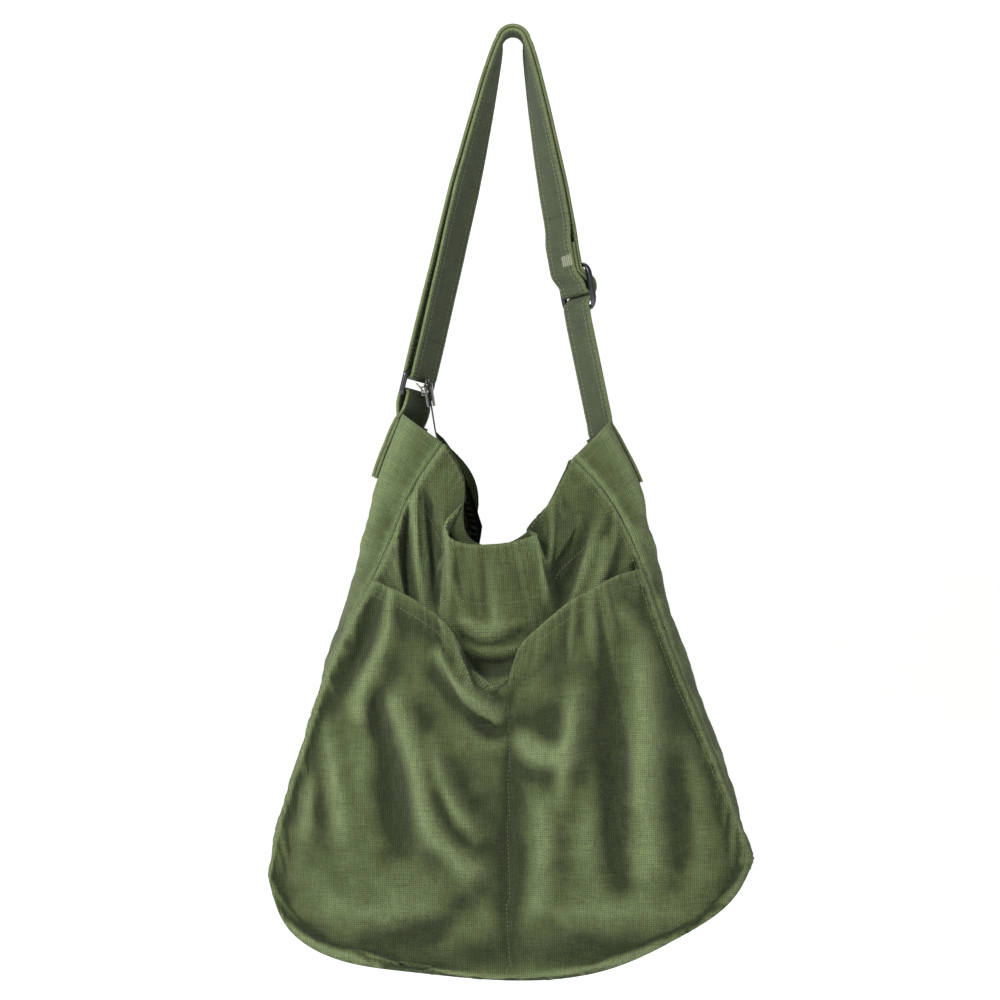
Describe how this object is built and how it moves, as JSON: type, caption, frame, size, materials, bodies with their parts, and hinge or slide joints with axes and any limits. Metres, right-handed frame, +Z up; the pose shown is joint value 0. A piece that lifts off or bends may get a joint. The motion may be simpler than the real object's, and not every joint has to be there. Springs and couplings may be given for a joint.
{
  "type": "hobo bag",
  "caption": "Slouchy canvas hobo bag with a divided front pocket, zip mouth and a doubled shoulder strap on a ring and a slide adjuster.",
  "frame": {"origin": "underside of the shoulder strap's arch, where a hook carries the bag; the bag hangs below it", "axes": "+Z up along the hanging bag, -Y towards the pocket front, +X to the right of someone facing the front"},
  "size_m": [0.4043, 0.1451, 0.8072],
  "materials": {
    "canvas": "washed olive green cotton canvas",
    "facing_canvas": "washed olive green cotton canvas, inside",
    "strap_canvas": "folded and edge stitched canvas band",
    "gunmetal": "satin gunmetal plating",
    "zip_tape": "woven grey green zip tape",
    "zip_coil": "dark nylon coil",
    "zip_metal": "bright die cast"
  },
  "bodies": {
    "bag": {"front_panel": "canvas", "back_panel": "canvas", "left_gusset": "canvas", "right_gusset": "canvas", "base_panel": "canvas", "front_pocket": "canvas", "front_mouth_facing": "facing_canvas", "back_mouth_facing": "facing_canvas", "left_tab_backing": "facing_canvas", "right_tab_backing": "facing_canvas", "shoulder_strap": "strap_canvas", "strap_right_leg": "strap_canvas", "strap_ring_loop": "strap_canvas", "strap_adjuster_run": "strap_canvas", "strap_tab_end": "strap_canvas", "ring_chape": "strap_canvas", "front_zip_tape": "zip_tape", "back_zip_tape": "zip_tape", "front_zip_coil": "zip_coil", "back_zip_coil": "zip_coil", "zip_bottom_stop": "zip_metal", "zip_top_stops": "zip_metal"},
    "ring": {"strap_ring": "gunmetal"},
    "adjuster": {"strap_adjuster": "gunmetal", "strap_end_fold": "strap_canvas"},
    "slider": {"zip_slider": "zip_metal"},
    "pull": {"zip_pull": "zip_metal"}
  },
  "joints": [
    {"name": "ring_swing", "type": "hinge", "parent": "bag", "child": "ring", "pos_m": [-0.0832, 0, -0.30813], "axis": [-0.5012, -0.8572, 0.1185], "range_deg": [-8, 8], "deforming": ["strap_ring_loop"]},
    {"name": "adjuster_slide", "type": "slide", "parent": "bag", "child": "adjuster", "axis": [-0.1771, 0, 0.9842], "range_m": [-0.045, 0.085], "deforming": ["strap_adjuster_run", "strap_right_leg", "strap_tab_end"]},
    {"name": "zip_slide", "type": "slide", "parent": "bag", "child": "slider", "axis": [0.158, 0, -0.9874], "range_m": [0, 0.022], "deforming": ["front_zip_coil", "back_zip_coil", "front_zip_tape", "back_zip_tape"]},
    {"name": "pull_swing", "type": "hinge", "parent": "slider", "child": "pull", "pos_m": [-0.07577, -0.0103, -0.30377], "axis": [0, 1, 0], "range_deg": [-20, 30]}
  ]
}
